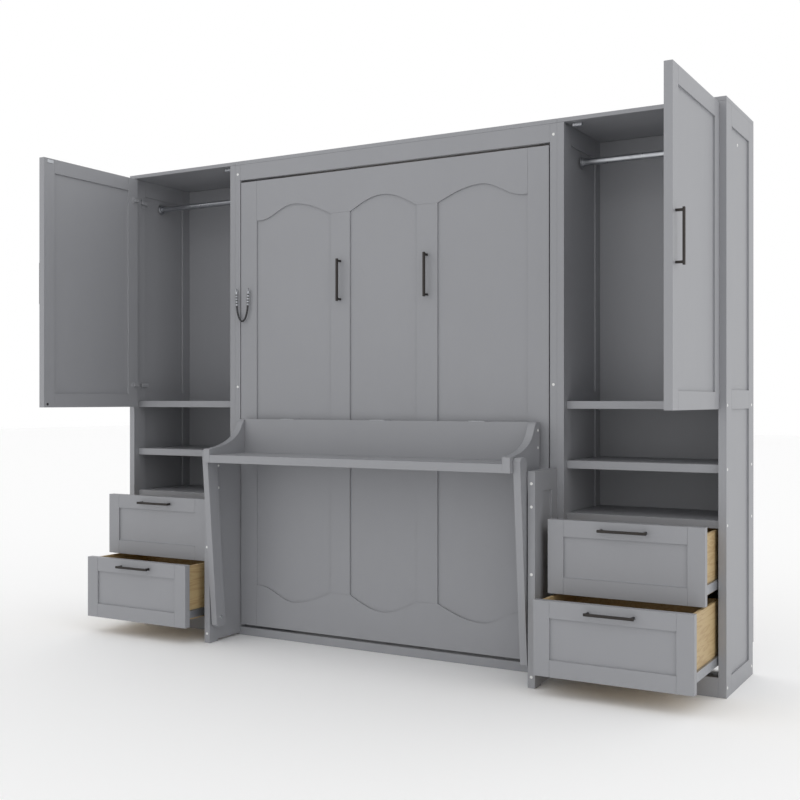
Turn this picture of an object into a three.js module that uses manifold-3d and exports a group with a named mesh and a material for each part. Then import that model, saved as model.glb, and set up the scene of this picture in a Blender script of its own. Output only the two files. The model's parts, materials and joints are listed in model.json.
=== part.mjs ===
// Upright wall bed with a self-levelling desk, between two wardrobes with doors and drawers.
// Units are millimetres. X runs across the furniture, Y towards the wall and Z up.
// Inside this file Y = 0 is the front plane of the cabinets and the floor is Z = 0.
import * as THREE from 'three';
import { mergeVertices } from 'three/addons/utils/BufferGeometryUtils.js';
import Module from 'manifold-3d';

const wasm = await Module();
wasm.setup();

// ---------------------------------------------------------------- driving dimensions
const HEIGHT = 2100;
const DEPTH = 419;
const CENTRE_WIDTH = 1529;
const WARDROBE_WIDTH = 630;
const BOARD = 28;
const TOP_BOARD = 16;
const THIN_BOARD = 18;
const JOINT_GAP = 0.3; // between pieces that are screwed or glued face to face
const DOOR_GAP = 3; // round a door or a drawer front
const RECESS = 7; // how far a panel is sunk in its frame
const BED_RECESS = 6;
const GROOVE = { width: 1.2, depth: 0.9 }; // joint line between a stile and a rail
const FRAME = 60; // frame width of doors and drawer fronts

const SIDE_STILE = 76; // frame of the outer side panels
const SIDE_TOP_RAIL = 74;
const SIDE_MID_RAIL = 68; // stands on the underside of the middle shelf
const SIDE_BOTTOM_RAIL = 66;
const SKIRTING = [12, 120]; // notch at the wall, depth and height

const BACK_BOARD = 12;
const BACK_SETBACK = 15; // from the rear edges of the sides
const BACK_FOOT = 20;
const MID_SHELF = [1007, 1036];
const OPEN_SHELF = [782, 812];
const DRAWER_SHELF = [587, 615];
const KICK = 69;
const RAIL_RADIUS = 12.5; // hanging rail
const RAIL_DROP = 119; // below the top board
const RAIL_SETBACK = 190;

const DOOR_LIP = 1; // door's lower edge above the underside of the middle shelf
const DOOR_TOP_GAP = 6;
const DOOR_HINGE = [4.75, 2.75]; // hinge axis: outside the door's edge, behind its face

const DRAWER_SPLIT = 339.5; // height between lower and upper drawer fronts
const DRAWER_TOP = 609;
const DRAWER_BOX = { side: 12, backGap: 14, topGap: 6, lift: 30, floor: 8 };
const SLIDE_SPACE = 13; // metal slide beside the box
const DRAWER_PULL = { upper: 165, lower: 298 };

const HANDLE = { length: 178, centres: 160, bar: 8, post: 8, width: 10, reach: 30, inset: 30 };
const PULL_HEIGHT = 1543; // centre of the upright handles

const FASCIA = 70;
const FASCIA_GAP = 11;
const PLINTH = 35;
const FLOOR_BOARD = [18, 39]; // base board behind the plinth: thickness and distance to the wall
const BED_FOOT_GAP = 12;
const BED_SIDE_GAP = 5;
const BED_PANEL = 22;
const BED_STILE = 86.5;
const MULLION = [160, 255]; // inner and outer edge from the middle
const WAVE_MARGIN = [179, 175]; // bed panel below and above the sunk panels' ends
const WAVE_RISE = 58;
const WAVE_FLAT = 0.1; // level share of a half wave beside the stiles
const WAVE_STEPS = 24;

const BED_RAIL = { inset: 30, thickness: 26, depth: 130, foot: 13, head: 18 };
const SLAT = { count: 13, width: 62, thickness: 14, setback: 62, tape: 40, tapeThickness: 3 };

const BED_PIVOT = { setback: 40, height: 262 };
const DESK_HINGE = { reach: 20, height: 955 };
const LEG_FOOT = { reach: 175, height: 110 };

const DESK = { reach: 290, under: 778, top: 810, lip: 835, back: 957, rear: 18, backboard: 32 };
const CHEEK_BOARD = 30;
const CHEEK_CLEARANCE = 34.5; // room for a leg between cheek and cabinet side
const LEG = { gap: 1, thickness: 28, half: 30, above: 30, below: 40, corner: 12 };
const SUPPORT = { reach: 210, height: 783, foot: 56, relief: 9, stile: 76, rearStile: 53 };

const STRUT = {
  anchor: [300, 700], rodEnd: [60, 100], outside: 15.5,
  radius: 11, bore: 8, rod: 5, length: 350, start: 15, rodLength: 330, cap: 10,
};
const STRAP = { radius: 4, out: 13, beyond: 11.5, within: 54.5, top: 1517, drop: 129 };

// ---------------------------------------------------------------- derived places
const CENTRE_HALF = CENTRE_WIDTH / 2;
const OUTER_HALF = CENTRE_HALF + WARDROBE_WIDTH;
const BAY_IN = CENTRE_HALF + BOARD;
const BAY_OUT = OUTER_HALF - BOARD;
const CARCASS_TOP = HEIGHT - TOP_BOARD;
const BACK_FACE = DEPTH - BACK_SETBACK - BACK_BOARD;
const DOOR_BOTTOM = MID_SHELF[0] + DOOR_LIP;
const FRONT_IN = BAY_IN + DOOR_GAP;
const FRONT_OUT = BAY_OUT - DOOR_GAP;
const DOOR_TOP = CARCASS_TOP - DOOR_TOP_GAP;
const CENTRE_INNER = CENTRE_HALF - BOARD;
const BED_HALF = CENTRE_INNER - BED_SIDE_GAP;
const BED_BOTTOM = PLINTH + BED_FOOT_GAP;
const BED_TOP = CARCASS_TOP - FASCIA - FASCIA_GAP;
const CHEEK = [CENTRE_INNER - CHEEK_CLEARANCE - CHEEK_BOARD, CENTRE_INNER - CHEEK_CLEARANCE];
const DOOR_REACH = FRONT_OUT - FRONT_IN + DOOR_HINGE[0] - DOOR_HINGE[1];

// ---------------------------------------------------------------- finishes
const FINISHES = {
  paint: { color: 0x939498, roughness: 0.5, metalness: 0 },
  pine: { color: 0xc8aa78, roughness: 0.6, metalness: 0 },
  darkMetal: { color: 0x3a3a3c, roughness: 0.45, metalness: 0.8 },
  steel: { color: 0xb9bcc0, roughness: 0.3, metalness: 1 },
  strap: { color: 0x1c1c1e, roughness: 0.6, metalness: 0 },
};

// ---------------------------------------------------------------- geometry helpers
const X = new THREE.Vector3(1, 0, 0);
const Y = new THREE.Vector3(0, 1, 0);
const Z = new THREE.Vector3(0, 0, 1);

// A block between two corners.
function block(x0, x1, y0, y1, z0, z1) {
  const geometry = new THREE.BoxGeometry(x1 - x0, y1 - y0, z1 - z0);
  return geometry.translate((x0 + x1) / 2, (y0 + y1) / 2, (z0 + z1) / 2);
}

// A block between distances u0 and u1 from the middle, on the left (-1) or the right (+1).
function sideBlock(side, u0, u1, y0, y1, z0, z1) {
  return block(Math.min(side * u0, side * u1), Math.max(side * u0, side * u1), y0, y1, z0, z1);
}

// A plate whose outline is drawn in (y, z), between two distances from the middle.
function sidePlate(side, outline, u0, u1) {
  const depth = u1 - u0;
  const geometry = new THREE.ExtrudeGeometry(outline, { depth, bevelEnabled: false, curveSegments: 12 });
  geometry.applyMatrix4(new THREE.Matrix4().makeBasis(Y, Z, X));
  return geometry.translate(Math.min(side * u0, side * u1), 0, 0);
}

// A plate whose outline is drawn in (x, z), between two depths.
function frontPlate(outline, y0, y1) {
  const geometry = new THREE.ExtrudeGeometry(outline, { depth: y1 - y0, bevelEnabled: false });
  geometry.applyMatrix4(new THREE.Matrix4().makeBasis(X, Z, Y.clone().negate()));
  return geometry.translate(0, y1, 0);
}

// An outline through straight corners.
function polygon(points) {
  return new THREE.Shape(points.map(([a, b]) => new THREE.Vector2(a, b)));
}

function toManifold(geometry) {
  const bare = geometry.clone();
  bare.deleteAttribute('normal');
  bare.deleteAttribute('uv');
  const merged = mergeVertices(bare, 1e-4);
  const vertProperties = merged.attributes.position.array;
  const triVerts = Uint32Array.from(merged.index.array);
  return new wasm.Manifold(new wasm.Mesh({ numProp: 3, vertProperties, triVerts }));
}

function fromManifold(manifold) {
  const mesh = manifold.getMesh();
  const geometry = new THREE.BufferGeometry();
  geometry.setAttribute('position', new THREE.BufferAttribute(mesh.vertProperties, 3));
  geometry.setIndex(new THREE.BufferAttribute(mesh.triVerts, 1));
  geometry.computeVertexNormals();
  return geometry;
}

function cut(geometry, cutters) {
  let body = toManifold(geometry);
  for (const cutter of cutters) body = body.subtract(toManifold(cutter));
  return fromManifold(body);
}

function join(geometries) {
  let body = toManifold(geometries[0]);
  for (const geometry of geometries.slice(1)) body = body.add(toManifold(geometry));
  return fromManifold(body);
}

function piece(parent, name, geometry, finish) {
  const mesh = new THREE.Mesh(geometry, new THREE.MeshStandardMaterial(FINISHES[finish]));
  mesh.name = name;
  parent.add(mesh);
  return mesh;
}

// ---------------------------------------------------------------- repeated forms
// A bar handle: length along X, standing out towards -Y, its middle at the origin.
function handleGeometry() {
  const { length, centres, bar, post, width, reach } = HANDLE;
  const end = length / 2;
  const outer = (centres + post) / 2;
  const inner = (centres - post) / 2;
  const under = reach - bar;
  const outline = polygon([
    [-end, under], [-outer, under], [-outer, 0], [-inner, 0], [-inner, under], [inner, under],
    [inner, 0], [outer, 0], [outer, under], [end, under], [end, reach], [-end, reach],
  ]);
  const geometry = new THREE.ExtrudeGeometry(outline, { depth: width, bevelEnabled: false });
  geometry.translate(0, 0, -width / 2);
  return geometry.applyMatrix4(new THREE.Matrix4().makeBasis(X, Y.clone().negate(), Z.clone().negate()));
}

function handle(parent, name, x, z, upright) {
  const mesh = piece(parent, name, handleGeometry(), 'darkMetal');
  mesh.position.set(x, -JOINT_GAP, z);
  if (upright) mesh.rotation.y = Math.PI / 2;
}

// A thin cutter along Z at (u, y), for the line where a rail meets a stile.
function uprightGroove(side, u, y, z0, z1) {
  const { width, depth } = GROOVE;
  return sideBlock(side, u - width / 2, u + width / 2, y - depth, y + depth, z0, z1);
}

// The same line on a side board, whose faces look along X.
function sideGroove(side, face, y, z0, z1) {
  const { width, depth } = GROOVE;
  return sideBlock(side, face - depth, face + depth, y - width / 2, y + width / 2, z0, z1);
}

// A board in the front plane with a sunk panel inside its frame, on one or both faces.
function framedFront(side, z0, z1, bothFaces) {
  const board = sideBlock(side, FRONT_IN, FRONT_OUT, 0, BOARD, z0, z1);
  const pocket = (y0, y1) => sideBlock(
    side, FRONT_IN + FRAME, FRONT_OUT - FRAME, y0, y1, z0 + FRAME, z1 - FRAME);
  const pockets = [pocket(-RECESS, RECESS)];
  if (bothFaces) pockets.push(pocket(BOARD - RECESS, BOARD + RECESS));
  for (const u of [FRONT_IN + FRAME, FRONT_OUT - FRAME]) {
    for (const y of bothFaces ? [0, BOARD] : [0]) {
      pockets.push(uprightGroove(side, u, y, z0 - 1, z0 + FRAME + 1));
      pockets.push(uprightGroove(side, u, y, z1 - FRAME - 1, z1 + 1));
    }
  }
  return cut(board, pockets);
}

// ---------------------------------------------------------------- wardrobes
// Cutters that make a side board a frame with two sunk panels, on the face at distance u.
function sideFrameCutters(side, face) {
  const panels = [[SIDE_BOTTOM_RAIL, DOOR_BOTTOM], [DOOR_BOTTOM + SIDE_MID_RAIL, CARCASS_TOP - SIDE_TOP_RAIL]];
  const rails = [[-1, panels[0][0] + 1], [panels[0][1] - 1, panels[1][0] + 1], [panels[1][1] - 1, HEIGHT]];
  const stiles = [SIDE_STILE, DEPTH - SIDE_STILE];
  const sunk = panels.map(([low, high]) => sideBlock(side, face - RECESS, face + RECESS, ...stiles, low, high));
  const lines = stiles.flatMap((y) => rails.map(([low, high]) => sideGroove(side, face, y, low, high)));
  return [...sunk, ...lines];
}

function outerSide(side) {
  const board = sideBlock(side, BAY_OUT, OUTER_HALF, 0, DEPTH, 0, CARCASS_TOP);
  const notch = sideBlock(side, BAY_OUT - 1, OUTER_HALF + 1, DEPTH - SKIRTING[0], DEPTH + 1, -1, SKIRTING[1]);
  return cut(board, [notch, ...sideFrameCutters(side, BAY_OUT), ...sideFrameCutters(side, OUTER_HALF)]);
}

function innerSide(side) {
  const board = sideBlock(side, CENTRE_HALF + JOINT_GAP, BAY_IN, 0, DEPTH, 0, CARCASS_TOP - JOINT_GAP);
  return cut(board, sideFrameCutters(side, BAY_IN));
}

function shelf(side, [low, high]) {
  return sideBlock(side, BAY_IN + JOINT_GAP, BAY_OUT - JOINT_GAP, BOARD + 1, BACK_FACE - JOINT_GAP, low, high);
}

function hangingRail(side) {
  const length = BAY_OUT - BAY_IN - 2 * JOINT_GAP;
  const rail = new THREE.CylinderGeometry(RAIL_RADIUS, RAIL_RADIUS, length, 20);
  rail.rotateZ(Math.PI / 2);
  return rail.translate(side * (BAY_IN + BAY_OUT) / 2, RAIL_SETBACK, CARCASS_TOP - RAIL_DROP);
}

function buildWardrobe(parent, side, label) {
  const add = (name, geometry, finish = 'paint') => piece(parent, `${label}_${name}`, geometry, finish);
  const inside = [BAY_IN + JOINT_GAP, BAY_OUT - JOINT_GAP];
  const below = CARCASS_TOP - JOINT_GAP;
  add('inner_side', innerSide(side));
  add('outer_side', outerSide(side));
  add('top', sideBlock(side, CENTRE_HALF + JOINT_GAP, OUTER_HALF, 0, DEPTH, CARCASS_TOP + JOINT_GAP, HEIGHT));
  add('mid_shelf', shelf(side, MID_SHELF));
  add('open_shelf', shelf(side, OPEN_SHELF));
  add('drawer_shelf', shelf(side, DRAWER_SHELF));
  add('back', sideBlock(side, ...inside, BACK_FACE, BACK_FACE + BACK_BOARD, BACK_FOOT, below));
  add('kick_rail', sideBlock(side, ...inside, 0, THIN_BOARD, 0, KICK));
  add('hanging_rail', hangingRail(side), 'steel');
}

// The door is drawn shut and then swung a quarter turn open about its hinge axis.
function buildDoor(parent, side, label) {
  const axis = [side * (FRONT_OUT + DOOR_HINGE[0]), DOOR_HINGE[1]];
  const leaf = new THREE.Group();
  leaf.position.set(axis[0], axis[1], 0);
  leaf.rotation.z = side * Math.PI / 2;
  const shut = new THREE.Group();
  shut.position.set(-axis[0], -axis[1], 0);
  leaf.add(shut);
  parent.add(leaf);
  piece(shut, `${label}_door`, framedFront(side, DOOR_BOTTOM, DOOR_TOP, true), 'paint');
  handle(shut, `${label}_door_handle`, side * (FRONT_IN + HANDLE.inset), PULL_HEIGHT, true);
}

function drawerBox(side, low, high) {
  const { side: wall, backGap, floor } = DRAWER_BOX;
  const inside = [BAY_IN + SLIDE_SPACE, BAY_OUT - SLIDE_SPACE];
  const front = BOARD + JOINT_GAP;
  const rear = BACK_FACE - backGap;
  const box = sideBlock(side, ...inside, front, rear, low, high);
  const hollow = sideBlock(
    side, inside[0] + wall, inside[1] - wall, front + wall, rear - wall, low + floor, high + 1);
  return cut(box, [hollow]);
}

function buildDrawer(parent, side, label, level) {
  const pulled = new THREE.Group();
  pulled.position.y = -DRAWER_PULL[level];
  parent.add(pulled);
  const low = level === 'upper' ? DRAWER_SPLIT + DOOR_GAP / 2 : KICK + DOOR_GAP;
  const high = level === 'upper' ? DRAWER_TOP : DRAWER_SPLIT - DOOR_GAP / 2;
  const ceiling = level === 'upper' ? DRAWER_SHELF[0] : high;
  const name = `${label}_${level}_drawer`;
  piece(pulled, `${name}_front`, framedFront(side, low, high, false), 'paint');
  piece(pulled, `${name}_box`, drawerBox(side, low + DRAWER_BOX.lift, ceiling - DRAWER_BOX.topGap), 'pine');
  handle(pulled, `${name}_handle`, side * (FRONT_IN + FRONT_OUT) / 2, high - HANDLE.inset, false);
}

// ---------------------------------------------------------------- centre cabinet
function supportOutline() {
  const { reach, height, foot, relief } = SUPPORT;
  return polygon([
    [-JOINT_GAP, relief], [-JOINT_GAP, height], [-reach, height], [-reach, 0], [foot - reach, 0],
    [foot - reach, relief],
  ]);
}

// The support's outer face has a sunk panel, level with the frames beside it.
function supportBoard(side) {
  const { reach, height, stile, rearStile } = SUPPORT;
  const board = sidePlate(side, supportOutline(), CENTRE_INNER, CENTRE_HALF);
  const panel = sideBlock(
    side, CENTRE_HALF - RECESS, CENTRE_HALF + 1, stile - reach, -rearStile, SIDE_BOTTOM_RAIL, height - stile);
  return cut(board, [panel]);
}

// The plinth with the base board that it carries.
function plinth(inside) {
  const front = block(-inside, inside, 0, THIN_BOARD, 0, PLINTH);
  const [thickness, wallGap] = FLOOR_BOARD;
  return join([front, block(-inside, inside, THIN_BOARD / 2, DEPTH - wallGap, PLINTH - thickness, PLINTH)]);
}

function buildCentre(parent) {
  for (const [side, label] of [[-1, 'left'], [1, 'right']]) {
    const board = sideBlock(side, CENTRE_INNER, CENTRE_HALF, 0, DEPTH, 0, CARCASS_TOP - JOINT_GAP);
    piece(parent, `${label}_centre_side`, board, 'paint');
    piece(parent, `${label}_support`, supportBoard(side), 'paint');
  }
  const inside = CENTRE_INNER - JOINT_GAP;
  const below = CARCASS_TOP - JOINT_GAP;
  const across = (y0, y1, z0, z1) => block(-inside, inside, y0, y1, z0, z1);
  piece(parent, 'centre_top', block(-CENTRE_HALF, CENTRE_HALF, 0, DEPTH, CARCASS_TOP, HEIGHT), 'paint');
  piece(parent, 'fascia', across(0, THIN_BOARD, CARCASS_TOP - FASCIA, below), 'paint');
  piece(parent, 'plinth', plinth(inside), 'paint');
  piece(parent, 'back_rail', across(DEPTH - THIN_BOARD, DEPTH, CARCASS_TOP - 3 * FASCIA, below), 'paint');
}

// ---------------------------------------------------------------- bed
// Rise of a wavy edge, from 0 at a panel's end to 1 at its middle.
const WAVES = {
  crisp: (share) => Math.sin(share * Math.PI / 2),
  flowing: (share) => (1 - Math.cos(Math.PI * Math.max(0, share - WAVE_FLAT) / (1 - WAVE_FLAT))) / 2,
};

function wavyPanel(x0, x1, leftEnd, rightEnd) {
  const rise = (x) => {
    const end = x - x0 < x1 - x ? leftEnd : rightEnd;
    return WAVE_RISE * WAVES[end](2 * Math.min(x - x0, x1 - x) / (x1 - x0));
  };
  const along = Array.from({ length: WAVE_STEPS + 1 }, (_, i) => x0 + (x1 - x0) * i / WAVE_STEPS);
  const bottom = along.map((x) => [x, BED_BOTTOM + WAVE_MARGIN[0] - rise(x)]);
  const top = along.map((x) => [x, BED_TOP - WAVE_MARGIN[1] + rise(x)]);
  return frontPlate(polygon([...bottom, ...top.reverse()]), -BED_RECESS, BED_RECESS);
}

function bedFront() {
  const panel = block(-BED_HALF, BED_HALF, 0, BED_PANEL, BED_BOTTOM, BED_TOP);
  const edge = BED_HALF - BED_STILE;
  const bases = [[BED_BOTTOM - 1, BED_BOTTOM + WAVE_MARGIN[0] + 1], [BED_TOP - WAVE_MARGIN[1] - 1, BED_TOP + 1]];
  const { width, depth } = GROOVE;
  const levelLine = (side, z) => sideBlock(
    side, MULLION[0] - 1, MULLION[1] + 1, -depth, depth, z - width / 2, z + width / 2);
  const joints = [-1, 1].flatMap((side) => [
    ...bases.map(([low, high]) => uprightGroove(side, edge, 0, low, high)),
    levelLine(side, bases[0][1] - 1),
    levelLine(side, bases[1][0] + 1),
  ]);
  return cut(panel, [
    ...joints,
    wavyPanel(-edge, -MULLION[1], 'flowing', 'crisp'),
    wavyPanel(-MULLION[0], MULLION[0], 'crisp', 'crisp'),
    wavyPanel(MULLION[1], edge, 'crisp', 'flowing'),
  ]);
}

function slatRoll() {
  const { count, width, thickness, setback, tape, tapeThickness } = SLAT;
  const half = BED_HALF - BED_RAIL.inset - BED_RAIL.thickness - JOINT_GAP;
  const first = BED_BOTTOM + BED_RAIL.foot + BED_RAIL.thickness + 2 * width;
  const pitch = (BED_TOP - BED_RAIL.head - first - 2 * width) / (count - 1);
  const slats = Array.from({ length: count }, (_, i) => {
    const middle = first + i * pitch;
    return block(-half, half, setback, setback + thickness, middle - width / 2, middle + width / 2);
  });
  const last = first + (count - 1) * pitch;
  const tapes = [-1, 1].map((side) => sideBlock(
    side, half / 2, half / 2 + tape, setback - tapeThickness, setback + tapeThickness / 2, first, last));
  return join([...slats, ...tapes]);
}

function buildBed(parent) {
  const { inset, thickness, depth } = BED_RAIL;
  const foot = BED_BOTTOM + BED_RAIL.foot;
  const near = BED_PANEL + JOINT_GAP;
  const outer = BED_HALF - inset;
  piece(parent, 'bed_front', bedFront(), 'paint');
  for (const [side, label] of [[-1, 'left'], [1, 'right']]) {
    const rail = sideBlock(side, outer - thickness, outer, near, near + depth, foot, BED_TOP - BED_RAIL.head);
    piece(parent, `${label}_bed_rail`, rail, 'paint');
    handle(parent, `${label}_bed_handle`, side * (MULLION[0] + MULLION[1]) / 2, PULL_HEIGHT, true);
  }
  const half = outer - thickness - JOINT_GAP;
  piece(parent, 'bed_foot_rail', block(-half, half, near, near + depth, foot, foot + thickness), 'paint');
  piece(parent, 'bed_slats', slatRoll(), 'pine');
}

// ---------------------------------------------------------------- desk and its legs
function cheekOutline() {
  const { reach, under, lip, back, rear, backboard } = DESK;
  const crest = rear + backboard;
  const shape = new THREE.Shape();
  shape.moveTo(-rear, under);
  shape.lineTo(-rear, back);
  shape.lineTo(-crest + 10, back);
  shape.quadraticCurveTo(-crest - 8, back, -crest - 22, back - 30);
  shape.quadraticCurveTo(-crest - 60, lip + 12, -reach, lip);
  shape.lineTo(-reach, under);
  return shape;
}

function deskLeg(side) {
  const { half, above, below, corner, gap, thickness } = LEG;
  const rise = DESK_HINGE.height - BED_PIVOT.height;
  const lean = DESK_HINGE.reach + BED_PIVOT.setback;
  const length = Math.hypot(rise, lean);
  const low = -below;
  const high = length + above;
  const outline = polygon([
    [-half + corner, low], [half - corner, low], [half, low + corner], [half, high - corner],
    [half - corner, high], [-half + corner, high], [-half, high - corner], [-half, low + corner],
  ]);
  const board = sidePlate(side, outline, CHEEK[1] + gap, CHEEK[1] + gap + thickness);
  board.rotateX(Math.atan2(lean, rise));
  return board.translate(0, -LEG_FOOT.reach, LEG_FOOT.height);
}

function buildDesk(parent) {
  const { reach, under, top, back, rear, backboard } = DESK;
  const half = CHEEK[0] - JOINT_GAP;
  piece(parent, 'desk_backboard', block(-half, half, -rear - backboard, -rear, under, back), 'paint');
  const worktop = block(-half, half, -reach, -rear - backboard - JOINT_GAP, under, top);
  piece(parent, 'desk_worktop', worktop, 'paint');
  for (const [side, label] of [[-1, 'left'], [1, 'right']]) {
    piece(parent, `${label}_desk_cheek`, sidePlate(side, cheekOutline(), ...CHEEK), 'paint');
    piece(parent, `${label}_desk_leg`, deskLeg(side), 'paint');
  }
}

// ---------------------------------------------------------------- gas struts and strap
// Both pieces are drawn along -Z from the strut's upper eye and turned about it.
function strutCylinder() {
  const { radius, bore, length, start, cap } = STRUT;
  const profile = [[0, 0], [radius, 0], [radius, -length], [bore, -length], [bore, -cap], [0, -cap]];
  const points = profile.map(([r, z]) => new THREE.Vector2(r, z - start)).reverse();
  return new THREE.LatheGeometry(points, 16).rotateX(Math.PI / 2);
}

function strutRod(span) {
  const rod = new THREE.CylinderGeometry(STRUT.rod, STRUT.rod, STRUT.rodLength, 12);
  rod.rotateX(Math.PI / 2);
  return rod.translate(0, 0, STRUT.rodLength / 2 - span);
}

function buildStrut(parent, side, label) {
  const { anchor, rodEnd, outside } = STRUT;
  const back = anchor[0] - rodEnd[0];
  const drop = anchor[1] - rodEnd[1];
  const line = new THREE.Group();
  line.position.set(side * (CENTRE_INNER - outside), anchor[0], anchor[1]);
  line.rotation.x = -Math.atan2(back, drop);
  parent.add(line);
  piece(line, `${label}_strut_cylinder`, strutCylinder(), 'darkMetal');
  piece(line, `${label}_strut_rod`, strutRod(Math.hypot(back, drop)), 'steel');
}

function strapGeometry() {
  const { radius, out, top, drop } = STRAP;
  const left = CENTRE_INNER + STRAP.beyond;
  const right = CENTRE_INNER - STRAP.within;
  const middle = (left + right) / 2;
  const route = [
    [left, 0], [left - 2, 0.3], [left - 5, 0.62], [middle + 16, 0.9], [middle, 1], [middle - 16, 0.9],
    [right + 5, 0.62], [right + 2, 0.3], [right, 0],
  ];
  const points = route.map(([x, share]) => new THREE.Vector3(-x, -out, top - drop * share));
  const path = new THREE.CatmullRomCurve3(points);
  const section = new THREE.Shape();
  section.absarc(0, 0, radius, 0, 2 * Math.PI);
  return new THREE.ExtrudeGeometry(section, { steps: 28, extrudePath: path, curveSegments: 8 });
}

// ---------------------------------------------------------------- assembly
const wallBed = new THREE.Group();
wallBed.position.y = (DOOR_REACH - DEPTH) / 2; // puts the middle of the open furniture at Y = 0
buildCentre(wallBed);
buildBed(wallBed);
buildDesk(wallBed);
piece(wallBed, 'safety_strap', strapGeometry(), 'strap');
for (const [side, label] of [[-1, 'left'], [1, 'right']]) {
  buildWardrobe(wallBed, side, label);
  buildDoor(wallBed, side, label);
  for (const level of ['upper', 'lower']) buildDrawer(wallBed, side, label, level);
  buildStrut(wallBed, side, label);
}

export default wallBed;
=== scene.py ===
"""Dresses the wall bed: satin paint, pine, dark handles, hinges, slides, screw caps and the strap."""
from __future__ import annotations

import json
import logging
import math
from dataclasses import dataclass, field
from enum import Enum
from typing import Any, Iterable, Sequence

import bpy
import numpy as np
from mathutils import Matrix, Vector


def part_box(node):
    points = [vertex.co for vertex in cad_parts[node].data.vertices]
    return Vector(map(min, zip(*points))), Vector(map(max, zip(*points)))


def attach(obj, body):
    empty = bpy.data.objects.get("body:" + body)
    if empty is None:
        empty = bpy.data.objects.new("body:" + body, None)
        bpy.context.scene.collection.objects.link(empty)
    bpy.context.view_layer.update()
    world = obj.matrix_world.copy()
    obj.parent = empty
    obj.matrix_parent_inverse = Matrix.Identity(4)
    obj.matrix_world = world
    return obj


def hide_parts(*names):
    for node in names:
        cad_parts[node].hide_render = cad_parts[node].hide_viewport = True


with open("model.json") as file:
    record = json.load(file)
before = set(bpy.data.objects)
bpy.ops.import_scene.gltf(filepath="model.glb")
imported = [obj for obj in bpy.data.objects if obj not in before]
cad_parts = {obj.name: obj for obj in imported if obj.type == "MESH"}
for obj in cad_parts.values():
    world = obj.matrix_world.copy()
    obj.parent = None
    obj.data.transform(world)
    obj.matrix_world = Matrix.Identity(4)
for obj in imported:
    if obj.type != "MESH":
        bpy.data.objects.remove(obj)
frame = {"nodes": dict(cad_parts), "record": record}

LOG = logging.getLogger("wall_bed")
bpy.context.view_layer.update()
SIDES = ((-1, "left"), (1, "right"))
MM = 0.001
Vec = tuple[float, float, float]


class Axis(Enum):
    """The direction that a turned piece stands along."""

    X = 0
    Y = 1
    Z = 2


# ---------------------------------------------------------------- shader maths
class Socket:
    """One value in a node tree, on which + - * / and reflected forms add Math nodes."""

    def __init__(self, tree: "Shader", link: Any) -> None:
        """Wraps an output socket or a number.

        Args:
            tree: The shader that the socket belongs to.
            link: An output socket or a plain number.
        """
        self.tree = tree
        self.link = link

    def _math(self, operation: str, *others: "Socket | float") -> "Socket":
        """Adds one Math node.

        Args:
            operation: The Math node's operation.
            others: The second and third operands.

        Returns:
            The node's value.
        """
        return self.tree.node("ShaderNodeMath", {"operation": operation}, [self, *others])

    def __add__(self, other: "Socket | float") -> "Socket":
        """Returns the sum."""
        return self._math("ADD", other)

    def __sub__(self, other: "Socket | float") -> "Socket":
        """Returns the difference."""
        return self._math("SUBTRACT", other)

    def __mul__(self, other: "Socket | float") -> "Socket":
        """Returns the product."""
        return self._math("MULTIPLY", other)

    def __truediv__(self, other: "Socket | float") -> "Socket":
        """Returns the quotient."""
        return self._math("DIVIDE", other)

    def __rsub__(self, other: float) -> "Socket":
        """Returns a number less this value."""
        return self.tree.node("ShaderNodeMath", {"operation": "SUBTRACT"}, [other, self])

    __radd__ = __add__
    __rmul__ = __mul__

    def near(self, centre: float, half_width: float) -> "Socket":
        """Returns 1 where this value is within half_width of centre, and 0 elsewhere."""
        return self._math("COMPARE", centre, half_width)

    def power(self, exponent: float) -> "Socket":
        """Returns this value raised to exponent."""
        return self._math("POWER", exponent)


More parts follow.
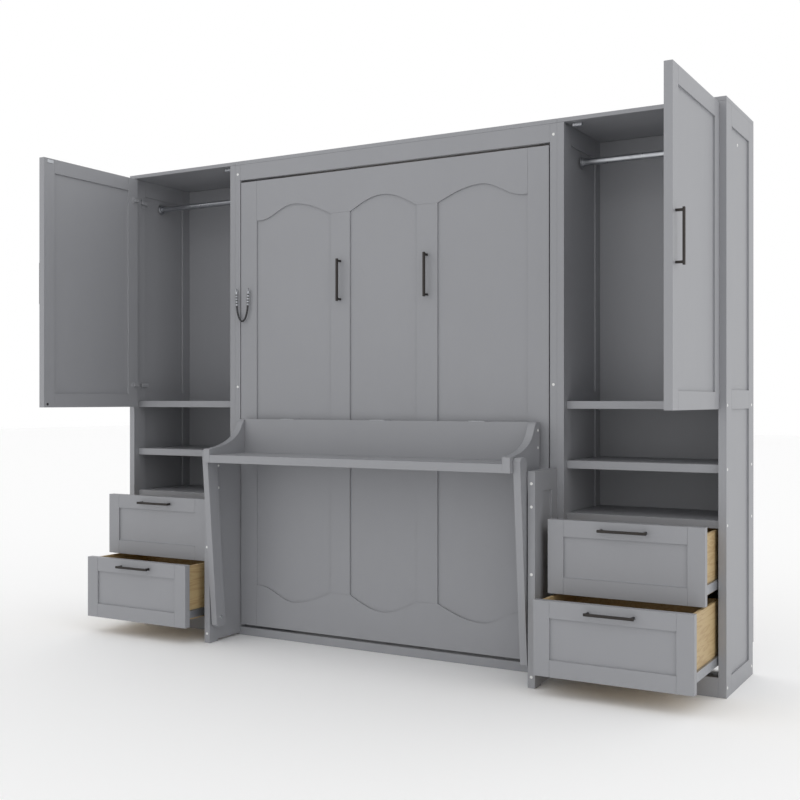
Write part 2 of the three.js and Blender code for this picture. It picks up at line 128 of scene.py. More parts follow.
class Shader:
    """A new material with a Principled shader and the calls that fill it."""

    def __init__(self, name: str) -> None:
        """Starts an empty material.

        Args:
            name: The material's name.
        """
        self.material = bpy.data.materials.new(name)
        self.material.use_nodes = True
        self.tree = self.material.node_tree
        self.principled = next(n for n in self.tree.nodes if n.type == "BSDF_PRINCIPLED")

    def node(self, kind: str, settings: dict[str, Any], inputs: Any, output: int | str = 0) -> Socket:
        """Adds any node.

        Args:
            kind: The node's type.
            settings: Properties to set first; a colour ramp's stops go under "stops".
            inputs: Values or sockets, as a list in order or a dict by name.
            output: Which output to return.

        Returns:
            The chosen output.
        """
        made = self.tree.nodes.new(kind)
        for key, value in settings.items():
            if key == "stops":
                self._stops(made.color_ramp, value)
            else:
                setattr(made, key, value)
        pairs = inputs.items() if isinstance(inputs, dict) else enumerate(inputs)
        for key, value in pairs:
            self.feed(made.inputs[key], value)
        return Socket(self, made.outputs[output])

    @staticmethod
    def _stops(ramp: Any, stops: Sequence[tuple[float, Vec]]) -> None:
        """Sets a ramp's stops, each a place and a colour."""
        while len(ramp.elements) < len(stops):
            ramp.elements.new(0.5)
        for element, (place, colour) in zip(ramp.elements, stops):
            element.position = place
            element.color = (*colour, 1)

    def feed(self, target: Any, value: Any) -> None:
        """Links a socket or sets a plain value on an input."""
        if isinstance(value, Socket):
            self.tree.links.new(value.link, target)
        elif isinstance(value, tuple) and len(value) == 3 and target.type == "RGBA":
            target.default_value = (*value, 1)
        else:
            target.default_value = value

    def set(self, **values: Any) -> None:
        """Feeds the Principled shader; underscores in names stand for spaces."""
        for key, value in values.items():
            self.feed(self.principled.inputs[key.replace("_", " ")], value)

    def place(self, scale: Vec = (1, 1, 1)) -> Socket:
        """Returns Object coordinates, stretched by scale."""
        coordinates = self.node("ShaderNodeTexCoord", {}, {}, "Object")
        return self.node("ShaderNodeMapping", {}, {"Vector": coordinates, "Scale": scale})

    def noise(self, where: Socket, scale: float, detail: float = 3, rough: float = 0.5) -> Socket:
        """Returns fractal noise from 0 to 1.

        Args:
            where: The coordinates.
            scale: Features per metre.
            detail: Octaves.
            rough: Weight of the finer octaves.

        Returns:
            The noise value.
        """
        inputs = {"Vector": where, "Scale": scale, "Detail": detail, "Roughness": rough}
        return self.node("ShaderNodeTexNoise", {}, inputs, 0)

    def blend(self, share: Socket | float, first: Any, second: Any) -> Socket:
        """Returns a colour between first and second."""
        made = self.tree.nodes.new("ShaderNodeMix")
        made.data_type = "RGBA"
        for target, value in ((made.inputs[0], share), (made.inputs[6], first), (made.inputs[7], second)):
            self.feed(target, value)
        return Socket(self, made.outputs[2])

    def bump(self, height: Socket, distance: float, strength: float = 1.0) -> None:
        """Feeds the shader's Normal from a height in units of distance (metres)."""
        inputs = {"Height": height, "Distance": distance, "Strength": strength}
        self.set(Normal=self.node("ShaderNodeBump", {}, inputs))


def linear(red: int, green: int, blue: int) -> Vec:
    """Returns a screen colour, 0 to 255, as linear light."""
    def one(value: int) -> float:
        """Returns one channel."""
        share = value / 255
        return share / 12.92 if share <= 0.04045 else ((share + 0.055) / 1.055) ** 2.4
    return one(red), one(green), one(blue)


# ---------------------------------------------------------------- finishes
@dataclass(frozen=True)
class SatinPaint:
    """Sprayed grey paint on smooth board, with a fine orange peel and faint handling marks."""

    colour: Vec = linear(141, 142, 146)
    pale: Vec = linear(149, 150, 154)
    roughness: float = 0.42

    def make(self, name: str) -> bpy.types.Material:
        """Returns the material."""
        paint = Shader(name)
        where = paint.place()
        broad = paint.noise(where, 2.2, 4)
        smear = paint.noise(paint.place((1, 1, 0.25)), 14, 5, 0.6)
        peel = paint.noise(where, 420, 2)
        grain = paint.noise(paint.place((1, 1, 0.08)), 260, 3, 0.6)
        paint.set(
            Base_Color=paint.blend(broad * 0.6 + smear * 0.4, self.colour, self.pale),
            Roughness=self.roughness + smear * 0.12 + peel * 0.04,
            Coat_Weight=0.12,
        )
        paint.principled.inputs["Coat Roughness"].default_value = 0.3
        paint.bump(peel * 0.7 + grain * 0.3, 0.00012, 0.5)
        return paint.material


@dataclass(frozen=True)
class Pine:
    """Clear-lacquered pine whose grain runs along one direction."""

    along: Axis = Axis.Y
    early: Vec = linear(186, 164, 122)
    late: Vec = linear(160, 130, 90)
    knot: Vec = linear(118, 84, 54)

    def make(self, name: str) -> bpy.types.Material:
        """Returns the material."""
        wood = Shader(name)
        stretch = [9.0, 9.0, 9.0]
        stretch[self.along.value] = 0.9
        where = wood.place(tuple(stretch))
        warp = wood.noise(where, 1.2, 3)
        rings = wood.node(
            "ShaderNodeTexNoise", {},
            {"Vector": where, "Scale": 3.0, "Detail": 2, "Roughness": 0.4, "Distortion": 1.4}, 0)
        bands = wood.node("ShaderNodeMath", {"operation": "SINE"}, [rings * 26.0 + warp * 5.0]) * 0.5 + 0.5
        sharp = bands.power(2.5)
        fine_stretch = [120.0, 120.0, 120.0]
        fine_stretch[self.along.value] = 4.0
        fibre = wood.noise(wood.place(tuple(fine_stretch)), 6, 3, 0.6)
        spots = wood.node(
            "ShaderNodeTexVoronoi", {}, {"Vector": where, "Scale": 0.7, "Randomness": 1.0}, "Distance")
        knots = wood.node("ShaderNodeMapRange", {}, {0: spots, 1: 0.03, 2: 0.09, 3: 1.0, 4: 0.0})
        base = wood.blend(sharp * 0.5 + fibre * 0.3, self.early, self.late)
        wood.set(Base_Color=wood.blend(knots, base, self.knot), Roughness=0.42 + fibre * 0.2)
        wood.bump(fibre * 0.6 + sharp * 0.4, 0.0002, 0.6)
        return wood.material


@dataclass(frozen=True)
class Metal:
    """A metal with cloudy wear and a fine grain."""

    colour: Vec
    worn: Vec
    metallic: float = 1.0
    roughness: float = 0.3
    grain: float = 0.00003

    def make(self, name: str) -> bpy.types.Material:
        """Returns the material."""
        metal = Shader(name)
        where = metal.place()
        cloud = metal.noise(where, 40, 4, 0.6)
        fine = metal.noise(metal.place((1, 1, 0.1)), 1500, 2)
        metal.set(
            Base_Color=metal.blend(cloud, self.colour, self.worn),
            Roughness=self.roughness + cloud * 0.14 + fine * 0.05,
            Metallic=self.metallic,
        )
        metal.bump(fine, self.grain)
        return metal.material


@dataclass(frozen=True)
class Moulded:
    """A moulded plastic or rubber with a fine eggshell surface."""

    colour: Vec
    roughness: float = 0.4

    def make(self, name: str) -> bpy.types.Material:
        """Returns the material."""
        plastic = Shader(name)
        fine = plastic.noise(plastic.place(), 900, 2)
        shade = tuple(0.85 * channel for channel in self.colour)
        plastic.set(Base_Color=plastic.blend(fine, shade, self.colour), Roughness=self.roughness + fine * 0.1)
        plastic.bump(fine, 0.00003)
        return plastic.material


@dataclass(frozen=True)
class Braid:
    """A braided black sheath whose strands follow the cord's own UV map."""

    def make(self, name: str) -> bpy.types.Material:
        """Returns the material."""
        braid = Shader(name)
        mapped = braid.node("ShaderNodeTexCoord", {}, {}, "UV")
        split = braid.node("ShaderNodeSeparateXYZ", {}, [mapped]).link.node.outputs
        round_it, along = Socket(braid, split[0]), Socket(braid, split[1])
        waves = [
            braid.node("ShaderNodeMath", {"operation": "SINE"}, [round_it * 50.265 + along * turn])
            for turn in (260.0, -260.0)
        ]
        weave = waves[0] * waves[1] * 0.5 + 0.5
        braid.set(Base_Color=braid.blend(weave, (0.006, 0.006, 0.007), (0.05, 0.05, 0.055)))
        braid.set(Roughness=0.5 + weave * 0.2)
        braid.bump(weave, 0.0004)
        return braid.material


FINISHES: dict[str, Any] = {
    "grey_paint": SatinPaint(),
    "pine": Pine(Axis.X),
    "pine_side": Pine(Axis.Y),
    "dark_metal": Metal(linear(52, 50, 50), linear(70, 66, 63), 0.85, 0.36, 0.00005),
    "bright_steel": Metal(linear(205, 207, 210), linear(172, 175, 180), 1.0, 0.2),
    "grey_rail": Metal(linear(176, 178, 182), linear(150, 152, 157), 0.9, 0.3),
    "strap_sheath": Braid(),
    "white_cap": Moulded(linear(236, 236, 234), 0.35),
    "black_rubber": Moulded(linear(34, 34, 36), 0.6),
}
MATERIALS = {name: finish.make(name) for name, finish in FINISHES.items()}


# ---------------------------------------------------------------- surfaces
def finish_piece(name: str, vertices: np.ndarray, faces: list[list[int]], material: str, body: str,
                 slot: str | None = None, smooth: bool = True) -> bpy.types.Object:
    """Makes a piece from arrays, dresses it and lets it ride on a body.

    Args:
        name: The piece's name.
        vertices: Points in metres, one row each.
        faces: Vertex numbers of each face, facing outwards.
        material: A finish in FINISHES.
        body: The body that carries the piece.
        slot: The record's material slot, where it isn't the finish's own name.
        smooth: Whether the faces shade smoothly.

    Returns:
        The new object.
    """
    mesh = bpy.data.meshes.new(name)
    mesh.from_pydata(vertices.tolist(), [], faces)
    mesh.polygons.foreach_set("use_smooth", [smooth] * len(faces))
    mesh.materials.append(MATERIALS[material])
    mesh.update()
    obj = bpy.data.objects.new(name, mesh)
    bpy.context.scene.collection.objects.link(obj)
    if smooth:
        mesh.set_sharp_from_angle(angle=math.radians(35))
    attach(obj, body)
    return obj


def joined(parts: Iterable[tuple[np.ndarray, list[list[int]]]]) -> tuple[np.ndarray, list[list[int]]]:
    """Returns several shells as one pair of points and faces."""
    points, faces, count = [], [], 0
    for part_points, part_faces in parts:
        points.append(part_points)
        faces += [[count + index for index in face] for face in part_faces]
        count += len(part_points)
    return np.vstack(points), faces


def oriented(across: np.ndarray, up: np.ndarray, out: np.ndarray, axis: Axis, sign: int) -> np.ndarray:
    """Returns points whose third local axis is turned to a row axis, keeping handedness.

    Args:
        across: First local coordinates.
        up: Second local coordinates.
        out: Third local coordinates, along the axis.
        axis: The row axis to stand along.
        sign: +1 or -1 along it.

    Returns:
        Points as rows.
    """
    first, second = np.eye(3)[(axis.value + 1) % 3], np.eye(3)[(axis.value + 2) % 3]
    if sign < 0:
        first, second = second, first
    third = sign * np.eye(3)[axis.value]
    return across[:, None] * first + up[:, None] * second + out[:, None] * third


def turned(profile: Sequence[tuple[float, float]], centre: Vec, axis: Axis, sign: int = 1,
           steps: int = 24) -> tuple[np.ndarray, list[list[int]]]:
    """A closed turned form: point (v, u) is the profile's radius at v turned by angle u.

    Args:
        profile: Radius and height from the lower pole to the upper pole, in metres, with radius above 0.
        centre: Where height 0 is.
        axis: The axis of revolution.
        sign: Which way heights run.
        steps: Facets around.

    Returns:
        Points and faces, with a fan of one face at each end.
    """
    radius, height = np.array(profile, float).T
    angle = np.arange(steps) * 2 * np.pi / steps
    across = np.outer(radius, np.cos(angle)).ravel()
    up = np.outer(radius, np.sin(angle)).ravel()
    points = oriented(across, up, np.repeat(height, steps), axis, sign) + np.array(centre)
    rows = len(profile)
    faces = [[r * steps + c, r * steps + (c + 1) % steps,
              (r + 1) * steps + (c + 1) % steps, (r + 1) * steps + c]
             for r in range(rows - 1) for c in range(steps)]
    faces.append(list(range(steps))[::-1])
    faces.append([(rows - 1) * steps + c for c in range(steps)])
    return points, faces


def slab(low: Vec, high: Vec, round_off: float = 0.0008) -> tuple[np.ndarray, list[list[int]]]:
    """A block with chamfered edges: each corner is three points set back along the axes.

    Args:
        low: Lowest corner.
        high: Highest corner.
        round_off: Width of the chamfer.

    Returns:
        Points and faces.
    """
    middle = (np.array(low) + np.array(high)) / 2
    half = np.abs(np.array(high) - np.array(low)) / 2
    cut = min(round_off, float(half.min()) * 0.5)
    signs = np.array([[sx, sy, sz] for sx in (-1, 1) for sy in (-1, 1) for sz in (-1, 1)], float)
    points = np.array([middle + sign * (half - cut * (np.arange(3) != axis))
                       for sign in signs for axis in range(3)])

    def at(sign: Sequence[int], axis: int) -> int:
        """Returns the number of the point that lies on the face across axis at this corner."""
        return int(((sign[0] > 0) * 4 + (sign[1] > 0) * 2 + (sign[2] > 0)) * 3 + axis)

    faces: list[list[int]] = []
    for axis in range(3):
        b, c = (axis + 1) % 3, (axis + 2) % 3
        for side in (-1, 1):
            ring = []
            for sb, sc in ((-1, -1), (1, -1), (1, 1), (-1, 1)):
                sign = [0, 0, 0]
                sign[axis], sign[b], sign[c] = side, sb, sc
                ring.append(at(sign, axis))
            faces.append(ring if side > 0 else ring[::-1])
        for sb in (-1, 1):
            for sc in (-1, 1):
                low_sign, high_sign = [0, 0, 0], [0, 0, 0]
                low_sign[axis], low_sign[b], low_sign[c] = -1, sb, sc
                high_sign[axis], high_sign[b], high_sign[c] = 1, sb, sc
                ring = [at(low_sign, b), at(high_sign, b), at(high_sign, c), at(low_sign, c)]
                faces.append(ring if sb * sc < 0 else ring[::-1])
    for sign in signs:
        ring = [at(sign, 0), at(sign, 1), at(sign, 2)]
        faces.append(ring if sign.prod() > 0 else ring[::-1])
    return points, faces


def tube(path: np.ndarray, radius: float, steps: int = 12,
         closed: bool = False) -> tuple[np.ndarray, list[list[int]]]:
    """A round tube: point (v, u) is the path at v plus radius times the turned normal at angle u.

    Args:
        path: Points of the centre line.
        radius: The tube's radius.
        steps: Facets around.
        closed: Whether the path is a ring.

    Returns:
        Points and faces, with flat ends on an open path.
    """
    ahead = np.roll(path, -1, 0) - np.roll(path, 1, 0)
    if not closed:
        ahead[0], ahead[-1] = path[1] - path[0], path[-1] - path[-2]
    ahead /= np.linalg.norm(ahead, axis=1)[:, None]
    spread = np.abs(ahead).max(0)
    up = np.eye(3)[int(spread.argmin())]
    side = np.cross(ahead, up)
    side /= np.linalg.norm(side, axis=1)[:, None]
    other = np.cross(ahead, side)
    angle = np.arange(steps) * 2 * np.pi / steps
    ring = side[:, None] * np.cos(angle)[None, :, None] + other[:, None] * np.sin(angle)[None, :, None]
    points = (path[:, None] + radius * ring).reshape(-1, 3)
    rows = len(path)
    faces = []
    for r in range(rows if closed else rows - 1):
        n = (r + 1) % rows
        faces += [[r * steps + c, r * steps + (c + 1) % steps, n * steps + (c + 1) % steps, n * steps + c]
                  for c in range(steps)]
    if not closed:
        faces.append(list(range(steps))[::-1])
        faces.append([(rows - 1) * steps + c for c in range(steps)])
    return points, faces


# ---------------------------------------------------------------- the furniture's places
def low(node: str) -> np.ndarray:
    """Returns a CAD node's lowest corner."""
    return np.array(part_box(node)[0])


def high(node: str) -> np.ndarray:
    """Returns a CAD node's highest corner."""
    return np.array(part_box(node)[1])


def joint_place(name: str) -> np.ndarray:
    """Returns the point on a hinge joint's axis."""
    joint = next(j for j in frame["record"]["behaviour"]["joints"] if j["name"] == name)
    return np.array(joint["pos_m"])


@dataclass
class Boards:
    """Softens the edges of the wooden CAD nodes and gives every CAD node its finish."""

    edge: float = 0.0012
    metal_edge: float = 0.0016

    def dress(self) -> None:
        """Puts materials, welds and bevels on all CAD nodes."""
        slots = {entry["node"]: entry["material_slot"] for entry in frame["record"]["subparts"]}
        for name, node in frame["nodes"].items():
            slot = slots[name]
            node.data.materials.clear()
            node.data.materials.append(MATERIALS["pine_side" if name.endswith("drawer_box") else slot])
            self.soften(node, self.metal_edge if slot == "dark_metal" else self.edge)

    def soften(self, node: bpy.types.Object, width: float) -> None:
        """Adds a weld and a bevel to one node.

        Args:
            node: The CAD node's object.
            width: Width of the bevel.
        """
        weld = node.modifiers.new("weld", "WELD")
        weld.merge_threshold = 0.00001
        bevel = node.modifiers.new("edge", "BEVEL")
        bevel.width = width
        bevel.segments = 3
        bevel.limit_method = "ANGLE"
        bevel.angle_limit = math.radians(50)
        bevel.harden_normals = True


@dataclass
class ScrewCaps:
    """White cover caps on the screws that hold the boards together."""

    radius: float = 5.5 * MM
    dome: float = 1.6 * MM

    def shell(self, centre: Vec, axis: Axis, sign: int) -> tuple[np.ndarray, list[list[int]]]:
        """Returns one cap: a low dome whose height falls as the square of its radius."""
        radii = np.array([1.0, 1.0, 0.93, 0.8, 0.6, 0.36, 0.12]) * self.radius
        domed = (1 - (radii[2:] / self.radius) ** 2) * self.dome + 0.5 * MM
        heights = np.array([-0.4 * MM, 0.3 * MM, *domed])
        return turned(list(zip(radii, heights)), centre, axis, sign, 20)

    def build(self) -> None:
        """Makes the caps of each board."""
        for side, label in SIDES:
            board = (low(f"{label}_centre_side") + high(f"{label}_centre_side")) / 2
            front = low(f"{label}_centre_side")[1]
            edge = [self.shell((board[0], front, z), Axis.Y, -1) for z in (2.042, 1.098)]
            finish_piece(f"{label}_side_caps", *joined(edge), "white_cap", "cabinet", "grey_paint")
            near = low(f"{label}_support")[1]
            caps = [self.shell((board[0], near, z), Axis.Y, -1) for z in (0.040, 0.410, 0.654, 0.738)]
            inner = min(abs(low(f"{label}_support")[0]), abs(high(f"{label}_support")[0])) * side
            caps += [self.shell((inner, near + 0.06, z), Axis.X, -side) for z in (0.416, 0.661, 0.757)]
            finish_piece(f"{label}_support_caps", *joined(caps), "white_cap", "cabinet", "grey_paint")
            self.cheek_caps(side, label)
            self.side_caps(side, label)

    def side_caps(self, side: int, label: str) -> None:
        """Makes the caps on an end board: at each shelf, front and rear, and at the hanging rail."""
        outer = max(abs(low(f"{label}_outer_side")[0]), abs(high(f"{label}_outer_side")[0])) * side
        front, rear = low(f"{label}_outer_side")[1] + 0.014, high(f"{label}_outer_side")[1] - 0.034
        levels = [(low(f"{label}_{shelf}")[2] + high(f"{label}_{shelf}")[2]) / 2 for shelf in
                  ("mid_shelf", "open_shelf", "drawer_shelf", "kick_rail")]
        caps = [self.shell((outer, y, z), Axis.X, side) for z in levels for y in (front, rear)]
        rail = (low(f"{label}_hanging_rail") + high(f"{label}_hanging_rail")) / 2
        caps.append(self.shell((outer - side * 0.007, rail[1], rail[2]), Axis.X, side))
        finish_piece(f"{label}_end_caps", *joined(caps), "white_cap", "cabinet", "grey_paint")

    def cheek_caps(self, side: int, label: str) -> None:
        """Makes the caps on one desk cheek's outer face."""
        outer = max(abs(low(f"{label}_desk_cheek")[0]), abs(high(f"{label}_desk_cheek")[0])) * side
        back = high("desk_backboard")[1] - 0.016
        caps = [self.shell((outer, back, z), Axis.X, side) for z in (0.926, 0.860)]
        finish_piece(f"{label}_cheek_caps", *joined(caps), "white_cap", "desk", "grey_paint")


@dataclass
class DeskHinges:
    """Three butt hinges between the bed front's batten and the desk's backboard."""

    places: Sequence[float] = (-0.45, 0.0, 0.45)
    width: float = 0.070
    leaf: float = 0.0018
    knuckle: float = 0.0030

    def build(self) -> None:
        """Makes the batten, the leaves and their pins."""
        pin = joint_place("desk_level")
        bed_face = low("bed_front")[1]
        top = high("desk_backboard")[2]
        reach = (high("desk_backboard")[0] - low("desk_backboard")[0]) / 2
        batten = slab((-reach, bed_face - 0.0165, top - 0.060), (reach, bed_face - 0.0003, top - 0.001), 0.0012)
        finish_piece("desk_batten", *batten, "grey_paint", "bed", "grey_paint", smooth=False)
        desk_front = low("desk_backboard")[1]
        for index, x in enumerate(self.places, 1):
            x0, x1 = x - self.width / 2, x + self.width / 2
            third = self.width / 5
            fixed = [slab((x0, bed_face - 0.016, top), (x1, bed_face - 0.0004, top + self.leaf), 0.0004)]
            swung = [slab((x0, desk_front + 0.004, top), (x1, pin[1] - 0.0022, top + self.leaf), 0.0004)]
            for step in range(5):
                middle = x0 + (step + 0.5) * third
                end = third / 2 - 0.0003
                profile = [(self.knuckle * 0.8, -end), (self.knuckle, -end + 0.0005),
                           (self.knuckle, end - 0.0005), (self.knuckle * 0.8, end)]
                shell = turned(profile, (middle, pin[1], pin[2]), Axis.X, 1, 16)
                (fixed if step % 2 == 0 else swung).append(shell)
            finish_piece(f"desk_hinge_{index}_fixed", *joined(fixed), "bright_steel", "bed", "bright_steel")
            finish_piece(f"desk_hinge_{index}_swung", *joined(swung), "bright_steel", "desk", "bright_steel")


@dataclass
class Bolts:
    """Pivot bolts of the bed and of the desk's legs."""

    radius: float = 8 * MM

    def pin(self, name: str, start: Vec, side: int, length: float, body: str, radius: float) -> None:
        """Makes one domed bolt that runs outwards from start."""
        head = radius * 1.45
        profile = [(head * 0.5, -0.0045), (head * 0.86, -0.0038), (head, -0.0022), (head, -0.0004),
                   (radius, -0.0002), (radius, length - 0.0008), (radius * 0.85, length)]
        finish_piece(name, *turned(profile, start, Axis.X, side, 28), "bright_steel", body, "bright_steel")

    def build(self) -> None:
        """Makes the three pairs of pivots."""
        bed, foot = joint_place("bed_fold"), joint_place("leg_swing")
        hinge = joint_place("desk_level")
        top = hinge + (foot - bed)
        for side, label in SIDES:
            rail = min(abs(low(f"{label}_bed_rail")[0]), abs(high(f"{label}_bed_rail")[0]))
            self.pin(f"{label}_bed_pivot", (side * (rail - 0.0003), bed[1], bed[2]),
                     side, 0.056, "cabinet", self.radius)
            leg = min(abs(low(f"{label}_desk_leg")[0]), abs(high(f"{label}_desk_leg")[0]))
            self.pin(f"{label}_leg_foot_bolt", (side * (leg - 0.0003), foot[1], foot[2]),
                     side, 0.040, "cabinet", 0.005)
            cheek = min(abs(low(f"{label}_desk_cheek")[0]), abs(high(f"{label}_desk_cheek")[0]))
            start = (side * (cheek - 0.0003), top[1], top[2])
            self.pin(f"{label}_leg_top_bolt", start, side, 0.052, "desk", 0.005)


@dataclass
class DrawerSlides:
    """Metal slides: a channel on the wardrobe side and a rail on the drawer box."""

    height: float = 0.045
    channel: float = 0.0012

    def build(self) -> None:
        """Makes both members on both sides of each drawer."""
        for _, label in SIDES:
            for level in ("upper", "lower"):
                self.pair(label, level)

    def pair(self, label: str, level: str) -> None:
        """Makes the four members of one drawer."""
        box_low, box_high = low(f"{label}_{level}_drawer_box"), high(f"{label}_{level}_drawer_box")
        middle = box_low[2] + 0.024
        z0, z1 = middle - self.height / 2, middle + self.height / 2
        front = low(f"{label}_inner_side")[1] + 0.031
        fixed, moving = [], []
        for face, out in ((box_low[0], -1), (box_high[0], 1)):
            wall = face + out * 0.0127
            plate = sorted((wall, wall - out * self.channel))
            fixed.append(slab((plate[0], front, z0), (plate[1], front + 0.345, z1), 0.0004))
            for z in (z0, z1 - self.channel):
                lip = sorted((wall, wall - out * 0.0115))
                fixed.append(slab((lip[0], front, z), (lip[1], front + 0.345, z + self.channel), 0.0003))
            inner = sorted((face + out * 0.0004, face + out * 0.010))
            moving.append(slab((inner[0], box_low[1] + 0.002, z0 + 0.006),
                               (inner[1], box_high[1] - 0.004, z1 - 0.006)))
        finish_piece(f"{label}_{level}_slide_fixed", *joined(fixed),
                     "grey_rail", "cabinet", "bright_steel", False)
        body = f"{label}_{level}_drawer"
        finish_piece(f"{label}_{level}_slide_moving", *joined(moving), "grey_rail", body, "bright_steel", False)


@dataclass
class DoorFittings:
    """Cup hinges, catches with their plates, and a soft bumper for each door."""

    heights: Sequence[float] = (1.110, 1.976)

    def build(self) -> None:
        """Makes the fittings of both doors."""
        for side, label in SIDES:
            self.hinges(side, label)
            self.catch(side, label)

    def hinges(self, side: int, label: str) -> None:
        """Makes cup hinges: a plate and arm inside the end board, and a cup on the open door."""
        wall = min(abs(low(f"{label}_outer_side")[0]), abs(high(f"{label}_outer_side")[0]))
        front = low(f"{label}_outer_side")[1]
        inner = min(abs(low(f"{label}_door")[0]), abs(high(f"{label}_door")[0]))
        door_end = high(f"{label}_door")[1]
        plates, cups = [], []
        for z in self.heights:
            x = sorted((side * (wall - 0.0004), side * (wall - 0.012)))
            plates.append(slab((x[0], front + 0.041, z - 0.009), (x[1], front + 0.085, z + 0.009), 0.002))
            flange = sorted((side * (wall - 0.0004), side * (wall - 0.003)))
            plates.append(slab((flange[0], front + 0.050, z - 0.026),
                               (flange[1], front + 0.070, z + 0.026), 0.001))
            cup = [(0.0175, 0.0003), (0.0175, 0.0022), (0.0160, 0.0030), (0.0010, 0.0030)]
            cups.append(turned(cup, (side * inner, door_end - 0.024, z), Axis.X, -side, 28))
            arm = sorted((side * (inner - 0.003), side * (inner - 0.011)))
            cups.append(slab((arm[0], door_end - 0.030, z - 0.008),
                             (arm[1], door_end - 0.0005, z + 0.008), 0.002))
        finish_piece(f"{label}_hinge_plates", *joined(plates), "grey_paint", "cabinet", "grey_paint")
        finish_piece(f"{label}_hinge_cups", *joined(cups), "grey_paint", f"{label}_door_leaf", "grey_paint")

    def catch(self, side: int, label: str) -> None:
        """Makes the magnetic catch under the top board, the door's plate and its bumper."""
        bay = max(abs(low(f"{label}_inner_side")[0]), abs(high(f"{label}_inner_side")[0]))
        under = low(f"{label}_top")[2]
        front = low(f"{label}_inner_side")[1]
        x = sorted((side * (bay + 0.020), side * (bay + 0.058)))
        body = [slab((x[0], front + 0.032, under - 0.014), (x[1], front + 0.048, under - 0.0006), 0.002)]
        body.append(slab((x[0] + 0.006, front + 0.0305, under - 0.011),
                         (x[1] - 0.006, front + 0.033, under - 0.006)))
        finish_piece(f"{label}_catch", *joined(body), "bright_steel", "cabinet", "bright_steel")
        inner = min(abs(low(f"{label}_door")[0]), abs(high(f"{label}_door")[0]))
        free = low(f"{label}_door")[1]
        face = sorted((side * (inner - 0.0003), side * (inner - 0.002)))
        top = high(f"{label}_door")[2]
        plate = slab((face[0], free + 0.018, top - 0.020), (face[1], free + 0.052, top - 0.006), 0.0006)
        finish_piece(f"{label}_catch_plate", *plate, "bright_steel", f"{label}_door_leaf", "bright_steel")
        bottom = low(f"{label}_door")[2]
        profile = [(0.006, -0.0003), (0.006, 0.0004), (0.0045, 0.0007), (0.001, 0.0008)]
        pad = turned(profile, (side * inner, free + 0.020, bottom + 0.014), Axis.X, -side, 20)
        finish_piece(f"{label}_bumper", *pad, "black_rubber", f"{label}_door_leaf", "strap_sheath")


@dataclass
class RailSockets:
    """Round flanges that hold the hanging rails."""

    def build(self) -> None:
        """Makes a flange at both ends of each rail."""
        profile = [(0.024, 0.0003), (0.024, 0.0025), (0.0225, 0.004),
                   (0.0170, 0.0045), (0.0165, 0.012), (0.0128, 0.0125)]
        for _, label in SIDES:
            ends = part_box(f"{label}_hanging_rail")
            middle = (np.array(ends[0]) + np.array(ends[1])) / 2
            shells = [turned(profile, (end[0], middle[1], middle[2]), Axis.X, sign, 32)
                      for end, sign in ((ends[0], 1), (ends[1], -1))]
            finish_piece(f"{label}_rail_sockets", *joined(shells), "grey_rail", "cabinet", "bright_steel")


@dataclass
class StrutEyes:
    """Studs and end pieces of the gas struts."""

    def build(self) -> None:
        """Makes an upper and a lower eye on each strut."""
        for side, label in SIDES:
            upper = joint_place(f"{label}_strut_swing")
            wall = min(abs(low(f"{label}_centre_side")[0]), abs(high(f"{label}_centre_side")[0]))
            reach = wall - abs(upper[0])
            stud = [(0.005, -0.010), (0.007, -0.006), (0.005, -0.002), (0.005, reach - 0.003),
                    (0.014, reach - 0.0028), (0.014, reach - 0.0004)]
            finish_piece(f"{label}_strut_stud", *turned(stud, tuple(upper), Axis.X, side, 24),
                         "bright_steel", "cabinet", "bright_steel")
            rod_low = low(f"{label}_strut_rod")
            end = (upper[0], rod_low[1] + 0.004, rod_low[2] + 0.004)
            eye = [(0.007, -0.007), (0.010, -0.005), (0.010, 0.005), (0.007, 0.007)]
            finish_piece(f"{label}_strut_eye", *turned(eye, end, Axis.X, side, 24),
                         "bright_steel", f"{label}_strut_piston", "bright_steel")


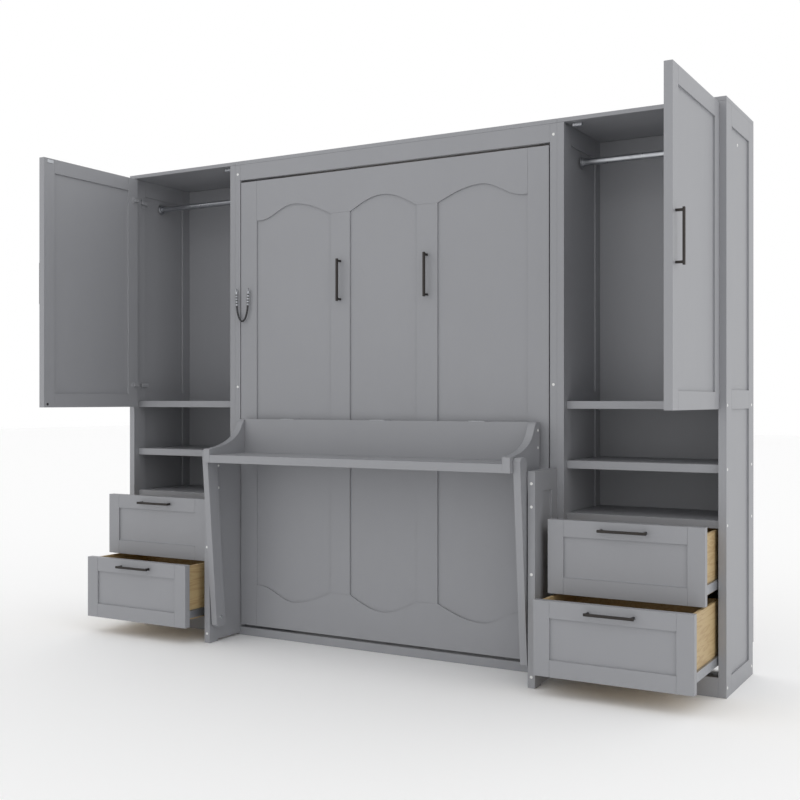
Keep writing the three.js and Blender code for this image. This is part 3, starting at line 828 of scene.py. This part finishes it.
@dataclass
class Strap:
    """The safety strap: a sheathed cord hung in a U between two screw eyes, with bright rings by both ends."""

    radius: float = 4 * MM
    samples: int = 40
    links: int = 5
    route: Sequence[tuple[float, float]] = field(default_factory=lambda: (
        (-0.748, 0.0), (-0.746, 0.3), (-0.743, 0.62), (-0.731, 0.9), (-0.715, 1.0), (-0.699, 0.9),
        (-0.687, 0.62), (-0.684, 0.3), (-0.682, 0.0)))
    top: float = 1.517
    drop: float = 0.129
    out: float = 0.013

    def path(self) -> np.ndarray:
        """Returns the centre line: a Catmull-Rom curve through the route."""
        front = low("bed_front")[1]
        knots = np.array([(x, front - self.out, self.top - self.drop * share) for x, share in self.route])
        padded = np.vstack([2 * knots[0] - knots[1], knots, 2 * knots[-1] - knots[-2]])
        t = np.linspace(0, len(knots) - 1.000001, self.samples)
        base, u = t.astype(int), (t % 1)[:, None]
        p0, p1, p2, p3 = (padded[base + k] for k in range(4))
        square, cube = 2 * p0 - 5 * p1 + 4 * p2 - p3, 3 * p1 - p0 - 3 * p2 + p3
        return 0.5 * (2 * p1 + (p2 - p0) * u + square * u ** 2 + cube * u ** 3)

    def build(self) -> None:
        """Makes the cord, its ferrules, the eyes and the rings."""
        path = self.path()
        steps = 12
        points, faces = tube(path, self.radius, steps)
        cord = finish_piece("strap_cord", points, faces, "strap_sheath", "bed", "strap_sheath")
        self.map_round(cord.data, steps, path)
        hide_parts("safety_strap")
        for name, index, body in (("strap_cabinet_eye", 0, "bed"), ("strap_bed_eye", -1, "bed")):
            self.eye(name, path[index], body)
            self.chain(name.replace("eye", "chain"), path, index == 0, body)

    def map_round(self, mesh: bpy.types.Mesh, steps: int, path: np.ndarray) -> None:
        """Writes a UV map: U goes once round the cord and V is the length along it in metres."""
        along = np.concatenate([[0], np.cumsum(np.linalg.norm(np.diff(path, axis=0), axis=1))])
        index = np.zeros(len(mesh.loops), int)
        mesh.loops.foreach_get("vertex_index", index)
        layer = mesh.uv_layers.new(name="cord")
        turn = (index % steps) / steps
        values = np.column_stack([turn, along[index // steps]])
        layer.data.foreach_set("uv", values.ravel())

    def chain(self, name: str, path: np.ndarray, first: bool, body: str) -> None:
        """Makes bright rings round one end of the cord: they lie evenly along its first 56 mm.

        Args:
            name: The piece's name.
            path: The cord's centre line.
            first: Whether the rings start at the path's first point.
            body: The body that carries them.
        """
        run = path if first else path[::-1]
        along = np.concatenate([[0], np.cumsum(np.linalg.norm(np.diff(run, axis=0), axis=1))])
        shells = []
        for distance in np.linspace(0.006, 0.056, self.links):
            centre = np.array([np.interp(distance, along, run[:, k]) for k in range(3)])
            ring = [(self.radius + 0.0002, -0.004), (self.radius + 0.0016, -0.003), (self.radius + 0.0021, 0.0),
                    (self.radius + 0.0016, 0.003), (self.radius + 0.0002, 0.004)]
            shells.append(turned(ring, tuple(centre), Axis.Z, 1, 20))
        finish_piece(name, *joined(shells), "bright_steel", body, "bright_steel")

    def eye(self, name: str, end: np.ndarray, body: str) -> None:
        """Makes a screw eye: a ring of wire on a short shank, and a ferrule under it."""
        angle = np.linspace(0, 2 * np.pi, 24, endpoint=False)
        centre = end + np.array([0, 0, 0.006])
        ring = centre + 0.007 * np.column_stack([np.zeros(24), np.cos(angle), np.sin(angle)])
        shank = np.linspace(centre + [0, 0.007, 0], centre + [0, 0.0125, 0], 4)
        ferrule = [(0.004, -0.004), (0.0056, -0.003), (0.0056, 0.001), (0.003, 0.002)]
        shells = [tube(ring, 0.0017, 10, True), tube(shank, 0.0017, 10),
                  turned(ferrule, tuple(end), Axis.Z, 1, 16)]
        finish_piece(name, *joined(shells), "bright_steel", body, "bright_steel")


@dataclass
class Studio:
    """Pale floor, soft lights and the camera."""

    eye: Vec = (2.344, -3.8415, 1.040)
    turn: float = math.radians(30.0)
    lens: float = 50.0

    def camera(self) -> None:
        """Sets the level camera that looks along +Y turned towards -X."""
        data = bpy.data.cameras.new("camera")
        data.lens = self.lens
        data.sensor_width = 36.0
        camera = bpy.data.objects.new("camera", data)
        camera.location = self.eye
        camera.rotation_euler = (math.pi / 2, 0, self.turn)
        bpy.context.scene.collection.objects.link(camera)
        bpy.context.scene.camera = camera

    def lamp(self, name: str, place: Vec, aim: Vec, size: float, power: float) -> None:
        """Adds one square soft light at place, aimed at aim."""
        data = bpy.data.lights.new(name, "AREA")
        data.size, data.energy = size, power
        lamp = bpy.data.objects.new(name, data)
        lamp.location = place
        to = np.array(aim) - np.array(place)
        tilt = math.atan2(math.hypot(to[0], to[1]), -to[2])
        lamp.rotation_euler = (tilt, 0, math.atan2(to[1], to[0]) - math.pi / 2)
        bpy.context.scene.collection.objects.link(lamp)

    def floor(self) -> None:
        """Adds a wide pale floor."""
        mesh = bpy.data.meshes.new("floor")
        reach = 30.0
        corners = [(x * reach, y * reach, -0.0005) for x, y in ((-1, -1), (1, -1), (1, 1), (-1, 1))]
        mesh.from_pydata(corners, [], [[0, 1, 2, 3]])
        pale = Shader("floor")
        pale.set(Base_Color=(0.97, 0.97, 0.97), Roughness=0.9)
        mesh.materials.append(pale.material)
        obj = bpy.data.objects.new("floor", mesh)
        bpy.context.scene.collection.objects.link(obj)

    def build(self) -> None:
        """Makes the whole studio."""
        self.camera()
        world = bpy.data.worlds.new("studio")
        world.use_nodes = True
        background = next(n for n in world.node_tree.nodes if n.type == "BACKGROUND")
        background.inputs["Color"].default_value = (1, 1, 1, 1)
        background.inputs["Strength"].default_value = 1.0
        bpy.context.scene.world = world
        bpy.context.scene.view_settings.view_transform = "Standard"
        self.floor()
        self.lamp("side", (6.5, -1.5, 2.6), (0.6, 0, 1.0), 3.0, 25)


def main() -> None:
    """Builds the studio and every group of pieces in order."""
    logging.basicConfig(level=logging.INFO)
    for group in (Studio(), Boards(), ScrewCaps(), DeskHinges(), Bolts(), DrawerSlides(), DoorFittings(),
                  RailSockets(), StrutEyes(), Strap()):
        if isinstance(group, Boards):
            group.dress()
        else:
            group.build()
        LOG.info("built %s", type(group).__name__)


if __name__ == "__main__":
    main()
